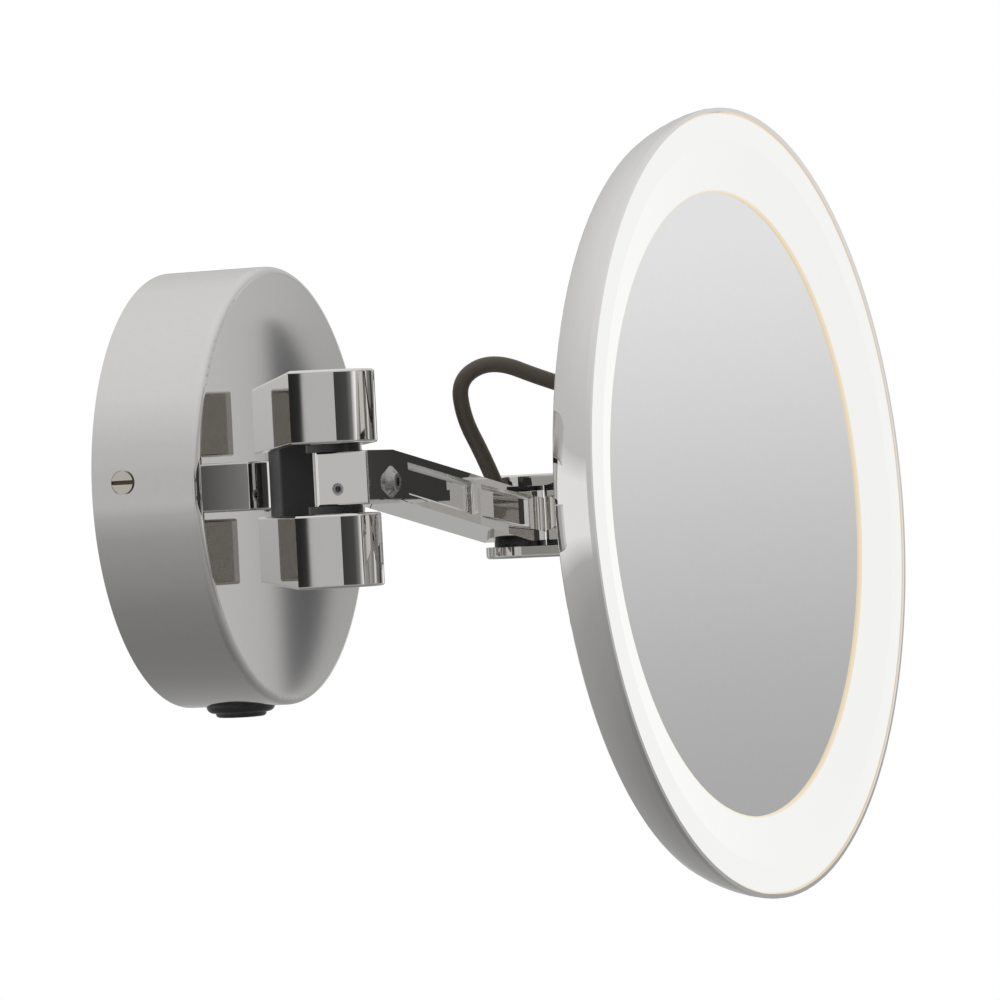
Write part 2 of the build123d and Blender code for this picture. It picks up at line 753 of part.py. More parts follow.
with BuildPart() as rear_shell:
    with BuildSketch(head_section):
        with BuildLine():
            ThreePointArc((head_back_radius, head_back), rim_middle, (head_radius, band_low))
            Polyline(
                (head_radius, band_low),
                (head_radius, head_front),
                (lip_inner, head_front),
                (lip_inner, lip_step),
                (lip_inner - ring_step, lip_step),
                (lip_inner - ring_step, mirror_front),
                (head_bore_radius, mirror_front),
                (head_bore_radius, head_inside),
                (0, head_inside),
                (0, head_back),
                (head_back_radius, head_back),
            )
        make_face()
    revolve(axis=Axis(tilt_axis, head_normal))
    back_edge = rear_shell.edges().sort_by(Axis(tilt_axis, head_normal))[0]
    fillet(back_edge, head_back_fillet)
    with BuildSketch(head_plane.offset(head_back)):
        with PolarLocations(bracket_screw_circle, bracket_screw_count, start_angle=bracket_screw_turn):
            Circle(bracket_screw_radius + fixed_clearance)
    extrude(amount=head_wall, mode=Mode.SUBTRACT)
    seat_radius = grommet_radius + grommet_seat_clearance
    rod(head_grommet_plane, seat_radius, 0, head_wall, mode=Mode.SUBTRACT)
finish(rear_shell, "rear_shell")

with BuildPart() as head_grommet:
    hole = flex_radius + grommet_hole_clearance
    ring(head_grommet_plane, hole, grommet_radius, -head_grommet_proud, head_wall)
finish(head_grommet, "head_grommet")

with BuildPart() as glass_pad:
    rod(head_plane, pad_radius, head_inside, mirror_back)
finish(glass_pad, "glass_pad")

with BuildPart() as mirror_glass:
    rod(head_plane, mirror_radius, mirror_back, mirror_front)
finish(mirror_glass, "mirror_glass")

ring_front = head_front - ring_inset
flange_back = lip_step + ring_flange_gap

with BuildPart() as diffuser_ring:
    with BuildSketch(head_section):
        with BuildLine():
            Polyline(
                (ring_inner_radius, mirror_front),
                (ring_body_radius, mirror_front),
                (ring_body_radius, flange_back),
                (ring_flange_radius, flange_back),
                (ring_flange_radius, ring_front),
                (ring_inner_radius + ring_slope_width, ring_front),
                (ring_inner_radius, mirror_front + ring_inner_edge),
                close=True,
            )
        make_face()
    revolve(axis=Axis(tilt_axis, head_normal))
finish(diffuser_ring, "diffuser_ring")

board_top = head_inside + board_thickness
with BuildPart() as led_board:
    ring(head_plane, board_inner_radius, board_outer_radius, head_inside, board_top)
finish(led_board, "led_board")

with BuildPart() as leds:
    with BuildSketch(head_plane.offset(board_top)):
        with PolarLocations(led_circle, led_count):
            Rectangle(led_size[0], led_size[1])
    extrude(amount=led_size[2])
finish(leds, "leds")

# Flex between the second arm and the head, in two lengths that meet in the loop
flex_start = arm_grommet_plane.from_local_coords(Vector(0, 0, arm_grommet_proud))
flex_end = head_grommet_plane.from_local_coords(Vector(0, 0, -head_grommet_proud))
flex_points = [flex_start, flex_start + flex_lean]
flex_points += [swivel_plane.from_local_coords(Vector(*point)) for point in flex_route]
flex_points += [flex_end - head_normal * flex_last_run, flex_end]


def corner_radius(before, corner, after):
    """Bend that leaves a straight piece in the middle of each run."""
    shorter = min((corner - before).length, (after - corner).length)
    turn = math.radians((corner - before).get_angle(after - corner))
    return bend_ratio * shorter / math.tan(turn / 2)


def make_flex(points, radii, label):
    """Tube along straight runs joined by tangent arcs."""
    with BuildPart() as tube:
        with BuildLine() as path:
            FilletPolyline(*points, radius=radii)
        with BuildSketch(Plane(points[0], z_dir=points[1] - points[0])):
            Circle(flex_radius)
        sweep()
    length = sum(edge.length for edge in path.edges())
    share = tube.part.volume / (math.pi * flex_radius**2 * length)
    print(label, "length", round(length, 1), "volume over section times length", round(share, 4))
    finish(tube, label)


flex_radii = [corner_radius(*flex_points[i - 1 : i + 2]) for i in range(1, len(flex_points) - 1)]
print("flex bend radii", [round(radius, 1) for radius in flex_radii])
flex_split = len(flex_points) // 2 + 1
flex_middle = (flex_points[flex_split - 1] + flex_points[flex_split]) * 0.5
make_flex(flex_points[:flex_split] + [flex_middle], flex_radii[: flex_split - 1], "flex_arm_side")
make_flex([flex_middle] + flex_points[flex_split:], flex_radii[flex_split - 1 :], "flex_head_side")
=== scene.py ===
# %% [markdown]
# # A lit shaving mirror on a folding wall arm
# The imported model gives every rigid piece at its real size. This lesson adds the
# finishes, the soft flex and the small fasteners, and then lights the whole object
# as a bright plated bathroom fitting is lit for a catalogue.

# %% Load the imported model
import json
import math

import bmesh
import bpy
import numpy as np
from mathutils import Matrix, Vector


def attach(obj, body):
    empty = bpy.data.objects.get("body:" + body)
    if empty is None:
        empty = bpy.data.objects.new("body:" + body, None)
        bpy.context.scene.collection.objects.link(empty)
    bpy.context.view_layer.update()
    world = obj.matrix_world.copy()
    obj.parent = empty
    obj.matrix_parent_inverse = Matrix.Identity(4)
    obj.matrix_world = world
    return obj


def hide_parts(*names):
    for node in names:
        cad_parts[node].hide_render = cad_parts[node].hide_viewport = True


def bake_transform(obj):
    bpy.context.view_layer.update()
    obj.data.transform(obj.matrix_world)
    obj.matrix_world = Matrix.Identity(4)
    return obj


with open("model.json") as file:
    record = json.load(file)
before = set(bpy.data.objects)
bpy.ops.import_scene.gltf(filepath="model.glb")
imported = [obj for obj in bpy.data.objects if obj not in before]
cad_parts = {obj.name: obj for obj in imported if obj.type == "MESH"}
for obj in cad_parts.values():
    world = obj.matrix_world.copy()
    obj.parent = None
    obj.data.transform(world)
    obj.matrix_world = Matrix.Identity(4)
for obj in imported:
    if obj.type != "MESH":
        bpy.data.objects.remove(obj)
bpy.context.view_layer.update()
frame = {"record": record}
joints = {joint["name"]: joint for joint in frame["record"]["behaviour"]["joints"]}

# %% [markdown]
# ## The camera
# A long lens from about a metre away flattens the two discs into the narrow ellipses
# that the picture shows. The lens is given in pixels, so it is turned into millimetres
# on a 36 mm sensor. The small roll lifts the right side of the picture a little.

# %% Camera at the picture's place
VIEW_AZIMUTH = math.radians(-70.58)
VIEW_ROLL = math.radians(-2.90)
VIEW_DISTANCE = 1.0746
VIEW_TARGET = Vector((0.0, -0.09203, -0.0070))
NEAREST_SEEN = 0.05
LENS_PIXELS = 4000.0
PICTURE_PIXELS = 1000.0
SENSOR_MM = 36.0

back = Vector((math.sin(VIEW_AZIMUTH), -math.cos(VIEW_AZIMUTH), 0.0))
right = Vector((0, 0, 1)).cross(back).normalized()
up = back.cross(right)
camera_x = math.cos(VIEW_ROLL) * right + math.sin(VIEW_ROLL) * up
camera_y = -math.sin(VIEW_ROLL) * right + math.cos(VIEW_ROLL) * up
camera_data = bpy.data.cameras.new("catalogue_camera")
camera_data.sensor_width = SENSOR_MM
camera_data.lens = LENS_PIXELS / PICTURE_PIXELS * SENSOR_MM
camera_data.clip_start = NEAREST_SEEN
camera = bpy.data.objects.new("catalogue_camera", camera_data)
bpy.context.collection.objects.link(camera)
turn = Matrix((camera_x, camera_y, back)).transposed().to_4x4()
camera.matrix_world = Matrix.Translation(VIEW_TARGET + back * VIEW_DISTANCE) @ turn
bpy.context.scene.camera = camera
print("camera at", [round(v, 3) for v in camera.location], "lens", camera_data.lens)

# %% [markdown]
# ## The flex
# A short dark flex carries power from the second arm to the head. It leaves the arm
# upwards, turns over in a loop and goes into the back of the head. Its line is one
# smooth spline through the loop. The tube is made in two lengths that share one ring
# where they meet.

# %% Route of the flex
MILLIMETRE = 0.001
FLEX_DIAMETER = 0.0041
FLEX_SIDES = 20
FLEX_STEPS = 16
ENTRY_DEPTH, ENTRY_RISE, ENTRY_RUN = 0.009, 0.028, 0.011
LINK_ANGLE = math.radians(262.85)
HEAD_PITCH = math.radians(1.75)
SWIVEL = Vector(joints["swivel_c"]["pos_m"])
HEAD_CENTRE = Vector(joints["tilt_d"]["pos_m"])

link_x = Vector((math.cos(LINK_ANGLE), math.sin(LINK_ANGLE), 0))
link_y = Vector((-math.sin(LINK_ANGLE), math.cos(LINK_ANGLE), 0))
link_z = Vector((0, 0, 1))
head_normal = link_x * math.cos(HEAD_PITCH) + link_z * math.sin(HEAD_PITCH)
head_up = link_z * math.cos(HEAD_PITCH) - link_x * math.sin(HEAD_PITCH)


def from_swivel(toward_mirror, sideways, upward):
    """Point in metres from millimetres seen from the swivel pin."""
    return SWIVEL + (link_x * toward_mirror + link_y * sideways + link_z * upward) * MILLIMETRE


flex_entry = HEAD_CENTRE + head_normal * ENTRY_DEPTH + head_up * ENTRY_RISE
flex_meeting = from_swivel(11.85, -19.75, 37.5)
flex_points = [
    from_swivel(0.476, -13.065, 7.92),
    from_swivel(-0.624, -17.465, 15.92),
    from_swivel(-2.9, -23.4, 26.0),
    from_swivel(-2.4, -26.2, 36.0),
    from_swivel(6.2, -23.0, 40.4),
    from_swivel(17.5, -16.5, 34.6),
    from_swivel(30.0, -8.5, 29.6),
    flex_entry - head_normal * ENTRY_RUN,
    flex_entry,
]
print("flex control points", len(flex_points))

# %% Smooth line through the route


def spline_points(points, name):
    """Points along a smooth spline whose control points are given."""
    curve = bpy.data.curves.new(name, "CURVE")
    curve.dimensions = "3D"
    curve.resolution_u = FLEX_STEPS
    spline = curve.splines.new("NURBS")
    spline.points.add(len(points) - 1)
    for knot, point in zip(spline.points, points):
        knot.co = (*point, 1.0)
    spline.order_u = 3
    spline.use_endpoint_u = True
    holder = bpy.data.objects.new(name, curve)
    bpy.context.collection.objects.link(holder)
    graph = bpy.context.evaluated_depsgraph_get()
    line = bpy.data.meshes.new_from_object(holder.evaluated_get(graph))
    path = [vertex.co.copy() for vertex in line.vertices]
    bpy.data.objects.remove(holder)
    bpy.data.meshes.remove(line)
    return path


def path_length(path):
    """Length along a list of points."""
    return sum((b - a).length for a, b in zip(path, path[1:]))


flex_path = spline_points(flex_points, "flex_route")
print("flex length", round(path_length(flex_path), 4), "points", len(flex_path))

# %% Two lengths of tube on that route


def tube_rings(path, diameter, sides):
    """Rings of points round a path, and the distance along it at each ring."""
    rings, along = [], [0.0]
    tangent = (path[1] - path[0]).normalized()
    side = tangent.orthogonal().normalized()
    angles = [2 * math.pi * k / sides for k in range(sides)]
    for i, point in enumerate(path):
        ahead = path[min(i + 1, len(path) - 1)] - path[max(i - 1, 0)]
        new_tangent = ahead.normalized()
        side = tangent.rotation_difference(new_tangent) @ side
        tangent = new_tangent
        other = tangent.cross(side)
        spokes = [side * math.cos(angle) + other * math.sin(angle) for angle in angles]
        rings.append([point + spoke * diameter / 2 for spoke in spokes])
        if i:
            along.append(along[-1] + (point - path[i - 1]).length)
    return rings, along


def tube_mesh(rings, along, diameter, name):
    """Closed tube through rings, with a UV map in metres around and along it."""
    mesh = bpy.data.meshes.new(name)
    shape = bmesh.new()
    layer = shape.loops.layers.uv.new("UVMap")
    corners = [[shape.verts.new(point) for point in ring] for ring in rings]
    sides = len(rings[0])
    around = math.pi * diameter
    for i, (here, ahead) in enumerate(zip(corners, corners[1:])):
        for k in range(sides):
            following = (k + 1) % sides
            face = shape.faces.new((here[k], here[following], ahead[following], ahead[k]))
            face.smooth = True
            spots = ((k, i), (k + 1, i), (k + 1, i + 1), (k, i + 1))
            for loop, (turns, step) in zip(face.loops, spots):
                loop[layer].uv = (around * turns / sides, along[step])
    shape.faces.new(list(reversed(corners[0])))
    shape.faces.new(corners[-1])
    bmesh.ops.recalc_face_normals(shape, faces=shape.faces)
    shape.to_mesh(mesh)
    shape.free()
    middles = [sum(ring, Vector()) / sides for ring in rings]
    mesh.normals_split_custom_set_from_vertices(
        [(point - middle).normalized() for ring, middle in zip(rings, middles) for point in ring]
    )
    piece = bpy.data.objects.new(name, mesh)
    bpy.context.collection.objects.link(piece)
    return piece


def flex_tube(name, first, last):
    """Tube over a range of the route's points."""
    part = slice(first, last)
    return tube_mesh(flex_rings[part], flex_along[part], FLEX_DIAMETER, name)


meeting = min(range(len(flex_path)), key=lambda i: (flex_path[i] - flex_meeting).length)
flex_rings, flex_along = tube_rings(flex_path, FLEX_DIAMETER, FLEX_SIDES)
flex_lower = flex_tube("flex_lower", 0, meeting + 1)
flex_upper = flex_tube("flex_upper", meeting, len(flex_path))

# %% [markdown]
# ## Shared surface effects
# Two small shader groups serve many finishes. One gives soft cloudy variation for
# polish marks and handling. The other gives fine brushed lines in one direction.
# Each material places the group with its own values. Short helpers add one node, feed
# it with links or plain values, and give back the socket that comes out of it.

# %% Cloudy marks
FINE_RATIO = 18.0
BROAD_DETAIL, FINE_DETAIL = 3.0, 2.0


def link(tree, source, target):
    """Shorter way to write a link."""
    tree.links.new(source, target)


def feed(tree, target, value):
    """Give a socket a link, or a plain value."""
    if isinstance(value, bpy.types.NodeSocket):
        link(tree, value, target)
    else:
        target.default_value = value


def new_group(name, inputs):
    """Shader group with float inputs, a value and a height."""
    group = bpy.data.node_groups.new(name, "ShaderNodeTree")
    group.interface.new_socket("Vector", in_out="INPUT", socket_type="NodeSocketVector")
    for title, value in inputs:
        socket = group.interface.new_socket(title, in_out="INPUT", socket_type="NodeSocketFloat")
        socket.default_value = value
    for title in ("Value", "Height"):
        group.interface.new_socket(title, in_out="OUTPUT", socket_type="NodeSocketFloat")
    return group, group.nodes.new("NodeGroupInput").outputs


def math_node(tree, operation, *values):
    """Math node fed with links or plain values, as a socket."""
    node = tree.nodes.new("ShaderNodeMath")
    node.operation = operation
    for target, value in zip(node.inputs, values):
        feed(tree, target, value)
    return node.outputs[0]


def noise_node(tree, place, scale, detail):
    """Noise texture, as a socket."""
    node = tree.nodes.new("ShaderNodeTexNoise")
    for title, value in (("Vector", place), ("Scale", scale), ("Detail", detail)):
        feed(tree, node.inputs[title], value)
    return node.outputs["Fac"]


cloud_group, given = new_group("handling_marks", [("Scale", 60.0), ("Low", 0.0), ("High", 1.0)])
fine_scale = math_node(cloud_group, "MULTIPLY", given["Scale"], FINE_RATIO)
broad = noise_node(cloud_group, given["Vector"], given["Scale"], BROAD_DETAIL)
fine = noise_node(cloud_group, given["Vector"], fine_scale, FINE_DETAIL)
print("cloudy nodes", len(cloud_group.nodes))

# %% What a group gives back


def map_range(tree, value, low, high, to_low=0.0, to_high=1.0):
    """Value moved from one range to another and held inside it."""
    node = tree.nodes.new("ShaderNodeMapRange")
    titles = ("Value", "From Min", "From Max", "To Min", "To Max")
    for title, setting in zip(titles, (value, low, high, to_low, to_high)):
        feed(tree, node.inputs[title], setting)
    return node.outputs["Result"]


def group_results(group, given, pattern, height):
    """Value between the group's low and high, and the height, as its outputs."""
    results = group.nodes.new("NodeGroupOutput").inputs
    value = map_range(group, pattern, 0.0, 1.0, given["Low"], given["High"])
    link(group, value, results["Value"])
    link(group, height, results["Height"])


group_results(cloud_group, given, broad, fine)
print("cloudy nodes", len(cloud_group.nodes))

# %% Brushed lines
BRUSH_STRETCH = (1.0, 1.0, 0.04)


def vector_node(tree, operation, *values):
    """Vector math node fed with links or plain values, as a socket."""
    node = tree.nodes.new("ShaderNodeVectorMath")
    node.operation = operation
    for target, value in zip(node.inputs, values):
        feed(tree, target, value)
    return node.outputs["Value" if operation == "LENGTH" else "Vector"]


brush_group, given = new_group("brushed_lines", [("Fineness", 900.0), ("Low", 0.2), ("High", 0.4)])
stretched = vector_node(brush_group, "MULTIPLY", given["Vector"], BRUSH_STRETCH)
lines = noise_node(brush_group, stretched, given["Fineness"], FINE_DETAIL)
group_results(brush_group, given, lines, lines)
print("shader groups", cloud_group.name, brush_group.name)

# %% [markdown]
# ## Finishes
# The bright pieces are chrome plated, so their looks come mostly from what they
# reflect. Only a little uneven polish is added. The plastics, the rubber and the
# plain steel get more, because their own surface is what shows.

# %% Material builder
TINT_SHARE = 0.85
BUMP_STRENGTH = 0.3
# Places of a Mix node's share, first and second input, and of its output.
MIX_SOCKETS = {"FLOAT": (0, 2, 3, 0), "RGBA": (0, 6, 7, 2)}


def new_material(name):
    """Material, its node tree and its main shader."""
    material = bpy.data.materials.new(name)
    material.use_nodes = True
    return material, material.node_tree, material.node_tree.nodes["Principled BSDF"]


def set_inputs(node, values):
    """Plain values for some inputs of a node."""
    for title, value in values.items():
        node.inputs[title].default_value = value


def mix_node(tree, share, first, second, kind="RGBA"):
    """Mix of two colours or of two numbers, as a socket."""
    node = tree.nodes.new("ShaderNodeMix")
    node.data_type = kind
    *takes, gives = MIX_SOCKETS[kind]
    for index, value in zip(takes, (share, first, second)):
        feed(tree, node.inputs[index], value)
    return node.outputs[gives]


def add_bump(tree, shader, height, strength, distance):
    """Fine relief on a shader."""
    relief = tree.nodes.new("ShaderNodeBump")
    set_inputs(relief, {"Strength": strength, "Distance": distance})
    link(tree, height, relief.inputs["Height"])
    link(tree, relief.outputs["Normal"], shader.inputs["Normal"])


def finish(name, color, group, low, high, scale, bump=0.0, metallic=0.0, tint=None):
    """Material with uneven roughness, a slight second colour and a fine bump."""
    material, tree, shader = new_material(name)
    place = tree.nodes.new("ShaderNodeTexCoord")
    marks = tree.nodes.new("ShaderNodeGroup")
    marks.node_tree = group
    link(tree, place.outputs["Object"], marks.inputs["Vector"])
    marks.inputs[1].default_value = scale
    set_inputs(marks, {"Low": low, "High": high})
    link(tree, marks.outputs["Value"], shader.inputs["Roughness"])
    shader.inputs["Metallic"].default_value = metallic
    second = tint or [channel * TINT_SHARE for channel in color]
    shade = mix_node(tree, marks.outputs["Height"], (*color, 1.0), (*second, 1.0))
    link(tree, shade, shader.inputs["Base Color"])
    if bump:
        add_bump(tree, shader, marks.outputs["Height"], BUMP_STRENGTH, bump)
    return material


white_case = finish("white_case", (0.78, 0.78, 0.75), cloud_group, 0.45, 0.6, 500.0, 0.00004)
print("nodes of one finish", len(white_case.node_tree.nodes))

# %% Metals


def metal(name, color, *values, tint=None):
    """Finish of a plated or bare metal."""
    return finish(name, color, *values, metallic=1.0, tint=tint)


chrome = metal(
    "chrome_plate", (0.81, 0.80, 0.78), cloud_group, 0.008, 0.02, 35.0, tint=(0.79, 0.78, 0.765)
)
base_plating = metal(
    "base_plating", (0.76, 0.75, 0.73), cloud_group, 0.02, 0.04, 30.0, tint=(0.73, 0.72, 0.705)
)
blackened_steel = metal(
    "blackened_steel", (0.07, 0.07, 0.072), brush_group, 0.3, 0.45, 1500.0, 0.00002
)
slot_steel = metal("slot_screw_steel", (0.78, 0.73, 0.65), brush_group, 0.25, 0.4, 1800.0, 0.00002)
silvering = metal(
    "silvered_glass", (0.90, 0.905, 0.90), cloud_group, 0.015, 0.03, 20.0, tint=(0.88, 0.885, 0.88)
)
plain_steel = metal("plain_steel", (0.56, 0.56, 0.57), brush_group, 0.22, 0.42, 1500.0, 0.00002)
zinc_sheet = metal(
    "zinc_sheet", (0.62, 0.62, 0.61), cloud_group, 0.25, 0.5, 240.0, 0.00003, tint=(0.5, 0.5, 0.51)
)
print("finishes so far", len(bpy.data.materials))

# %% Plastics and rubber
dark_nylon = finish("dark_nylon", (0.030, 0.030, 0.031), cloud_group, 0.42, 0.6, 400.0, 0.00003)
switch_plastic = finish(
    "switch_plastic", (0.014, 0.014, 0.015), cloud_group, 0.22, 0.36, 300.0, 0.00001
)
cream_block = finish("cream_block", (0.66, 0.62, 0.52), cloud_group, 0.4, 0.55, 400.0, 0.00003)
gland_rubber = finish(
    "gland_rubber", (0.022, 0.021, 0.020), cloud_group, 0.55, 0.75, 500.0, 0.00005
)
foam = finish("foam_pad", (0.12, 0.12, 0.12), cloud_group, 0.8, 0.95, 900.0, 0.0002)
board_mask = finish("board_mask", (0.82, 0.83, 0.80), cloud_group, 0.35, 0.5, 350.0, 0.00002)
print("finishes so far", len(bpy.data.materials))

# %% [markdown]
# The flex has a woven sleeve. Its weave follows the cord, so it reads the tube's own
# UV map: two sets of slanting lines cross, and the product of their waves gives the
# raised threads.

# %% Woven sleeve of the flex
WEAVE_SCALE, WEAVE_SLANT = 900.0, math.radians(45)
WEAVE_STRENGTH, WEAVE_HEIGHT = 0.2, 0.00003
SLEEVE_ROUGHNESS = 0.42
THREAD_DARK, THREAD_LIGHT = (0.068, 0.055, 0.040, 1), (0.096, 0.079, 0.058, 1)
sleeve, tree, shader = new_material("woven_sleeve")
place = tree.nodes.new("ShaderNodeTexCoord")
waves = []
for slant in (-WEAVE_SLANT, WEAVE_SLANT):
    turned = tree.nodes.new("ShaderNodeMapping")
    turned.inputs["Rotation"].default_value = (0, 0, slant)
    wave = tree.nodes.new("ShaderNodeTexWave")
    wave.inputs["Scale"].default_value = WEAVE_SCALE
    link(tree, place.outputs["UV"], turned.inputs["Vector"])
    link(tree, turned.outputs["Vector"], wave.inputs["Vector"])
    waves.append(wave.outputs["Fac"])
threads = math_node(tree, "MULTIPLY", *waves)
link(tree, mix_node(tree, threads, THREAD_DARK, THREAD_LIGHT), shader.inputs["Base Color"])
add_bump(tree, shader, threads, WEAVE_STRENGTH, WEAVE_HEIGHT)
shader.inputs["Roughness"].default_value = SLEEVE_ROUGHNESS
print("sleeve nodes", len(tree.nodes))

# %% [markdown]
# The lit ring is opal plastic with lamps behind it. It glows evenly, with a thin
# warmer line at its inner and outer edge, where the light leaks past the rim. The
# distance from the head's axis comes from Object coordinates.

# %% Opal ring
RING_INNER, RING_OUTER, WARM_EDGE = 0.0793, 0.0988, 0.0005
WARM_LIGHT, WHITE_LIGHT = (0.86, 0.72, 0.52, 1), (0.885, 0.885, 0.87, 1)
RING_PLASTIC = {
    "Base Color": (0.03, 0.03, 0.028, 1),
    "Emission Strength": 0.96,
    "Specular IOR Level": 0.15,
    "Roughness": 0.4,
}


def axis_distance(tree):
    """Distance from the head's axis, as a socket."""
    place = tree.nodes.new("ShaderNodeTexCoord")
    offset = vector_node(tree, "SUBTRACT", place.outputs["Object"], HEAD_CENTRE)
    return vector_node(tree, "LENGTH", vector_node(tree, "CROSS_PRODUCT", offset, head_normal))


opal, tree, shader = new_material("opal_ring")
ramp = tree.nodes.new("ShaderNodeValToRGB")
edge_share = WARM_EDGE / (RING_OUTER - RING_INNER)
for element in ramp.color_ramp.elements:
    element.color = WARM_LIGHT
for spot in (edge_share, 1 - edge_share):
    ramp.color_ramp.elements.new(spot).color = WHITE_LIGHT
ring_share = map_range(tree, axis_distance(tree), RING_INNER, RING_OUTER)
link(tree, ring_share, ramp.inputs["Fac"])
link(tree, ramp.outputs["Color"], shader.inputs["Emission Color"])
set_inputs(shader, RING_PLASTIC)
print("ring edge share", round(edge_share, 3))

# %% Lamps
LAMP_LIGHT = (1.0, 0.93, 0.78, 1)
lamp_glow = finish("lamp_glow", (0.9, 0.8, 0.5), cloud_group, 0.3, 0.4, 800.0, 0.00002)
lamp_shader = lamp_glow.node_tree.nodes["Principled BSDF"]
set_inputs(lamp_shader, {"Emission Color": LAMP_LIGHT, "Emission Strength": 1.0})
print("lamp light", LAMP_LIGHT[:3])

# %% [markdown]
# The flat front of the base is a little less polished than its rounded edge and its
# side. The depth out from the wall, from Object coordinates, says where.

# %% Front of the base
BASE_FRONT, BASE_EDGE, FRONT_ROUGHNESS = -0.03046, -0.0303, 0.05


def object_axis(tree, axis):
    """One Object coordinate, as a socket."""
    place = tree.nodes.new("ShaderNodeTexCoord")
    split = tree.nodes.new("ShaderNodeSeparateXYZ")
    link(tree, place.outputs["Object"], split.inputs[0])
    return split.outputs[axis]


tree = base_plating.node_tree
target = tree.nodes["Principled BSDF"].inputs["Roughness"]
polished = target.links[0].from_socket
front_share = map_range(tree, object_axis(tree, "Y"), BASE_EDGE, BASE_FRONT)
link(tree, mix_node(tree, front_share, polished, FRONT_ROUGHNESS, "FLOAT"), target)
print("front of the base", FRONT_ROUGHNESS)

# %% [markdown]
# The cover screws have bright tops. Below the top, in the slot and round the sides of the
# head, the colour is painted darker: dirt, and painted shade of the slot and of the recess
# round the head. The distance out from the middle of the base says where.

# %% Slot of the cover screws
# Dark colour below the top: dirt and painted shade in the slot and round the head.
SLOT_DARK, SLOT_BRIGHT, SLOT_DIRT_AND_SHADE = 0.0599, 0.0603, (0.100, 0.084, 0.062, 1.0)
tree = slot_steel.node_tree
target = tree.nodes["Principled BSDF"].inputs["Base Color"]
bright = target.links[0].from_socket
outward = math_node(tree, "ABSOLUTE", object_axis(tree, "X"))
top_share = map_range(tree, outward, SLOT_DARK, SLOT_BRIGHT)
link(tree, mix_node(tree, top_share, SLOT_DIRT_AND_SHADE, bright), target)
print("slot darkens below", SLOT_BRIGHT)

# %% [markdown]
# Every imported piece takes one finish. The list below is read as a painter's order: the
# finish first, and then the pieces that get it.

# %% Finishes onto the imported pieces
node_finish = {
    chrome: ["base_lug", "upper_bar", "lower_bar", "arm_2_bar", "clevis_upper", "clevis_lower"]
    + ["link_block", "rear_shell", "head_bracket"],
    base_plating: ["base_cover"],
    blackened_steel: ["pivot_a_washers", "pivot_b_washers", "pivot_c_washers"],
    slot_steel: ["cover_screws"],
    plain_steel: ["lug_screws", "pivot_a_pin", "pivot_b_pin", "pivot_c_pin", "tilt_axle"]
    + ["set_screw_a", "set_screw_b", "bar_screws", "clevis_screws", "bracket_screws"],
    zinc_sheet: ["wall_plate"],
    # The web between the bars is painted near black, as painted shade of the gap between the bars.
    dark_nylon: ["tilt_washers", "bar_web"],
    switch_plastic: ["switch_bezel", "switch_button", "switch_body"],
    white_case: ["led_driver"],
    cream_block: ["terminal_block"],
    gland_rubber: ["arm_grommet", "head_grommet"],
    foam: ["glass_pad"],
    board_mask: ["led_board"],
    lamp_glow: ["leds"],
    opal: ["diffuser_ring"],
    silvering: ["mirror_glass"],
    sleeve: ["flex_arm_side", "flex_head_side"],
}
for material, names in node_finish.items():
    for name in names:
        node = bpy.data.objects[name]
        node.data.materials.clear()
        node.data.materials.append(material)
print("dressed nodes", sum(len(names) for names in node_finish.values()))

# %% [markdown]
# The two lengths of flex stand in for the plain solids of the imported model, which are
# hidden. Each length takes the woven sleeve, and its placement is baked into its points.

# %% The flex takes the place of its solids
for piece, node in ((flex_lower, "flex_arm_side"), (flex_upper, "flex_head_side")):
    piece.data.materials.append(sleeve)
    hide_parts(node)
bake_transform(flex_lower)
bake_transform(flex_upper)
print("flex pieces", flex_lower.name, flex_upper.name)

# %% [markdown]
# ## Socket screws
# The bars, the fork, the bracket and the two pins are held by socket screws. They are
# alike and only their sizes differ, so one Geometry Nodes tree makes them all: a head
# with a chamfered edge and a six-sided socket, and a shank below it. The tree sets one
# screw on each point of a small point mesh and turns it along the point's axis. The
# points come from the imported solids, so each head sits at the outer end of its solid.
# One fault is left: the cone that should only cut the chamfer stays in the mesh, so
# below the chamfer each screw flares out wider than its head.

# %% Screw tree
SCREW_SIZES = [
    "Head Radius",
    "Head Height",
    "Shank Radius",
    "Shank Length",
    "Socket Radius",
    "Socket Depth",
]

screw_tree = bpy.data.node_groups.new("socket_screws", "GeometryNodeTree")
screw_tree.is_modifier = True
screw_input = {}
geometry = ("Geometry", "NodeSocketGeometry")
sizes = [(title, "NodeSocketFloat") for title in SCREW_SIZES]
for title, kind in [geometry, *sizes, ("Finish", "NodeSocketMaterial")]:
    socket = screw_tree.interface.new_socket(title, in_out="INPUT", socket_type=kind)
    screw_input[title] = socket.identifier
screw_tree.interface.new_socket(geometry[0], in_out="OUTPUT", socket_type=geometry[1])
given = screw_tree.nodes.new("NodeGroupInput").outputs
made = screw_tree.nodes.new("NodeGroupOutput")
print("screw inputs", len(screw_input))

# %% Head of the screw
HEAD_SIDES = 40


def screw_math(operation, *values):
    """Math node of the screw tree, as a socket."""
    return math_node(screw_tree, operation, *values)


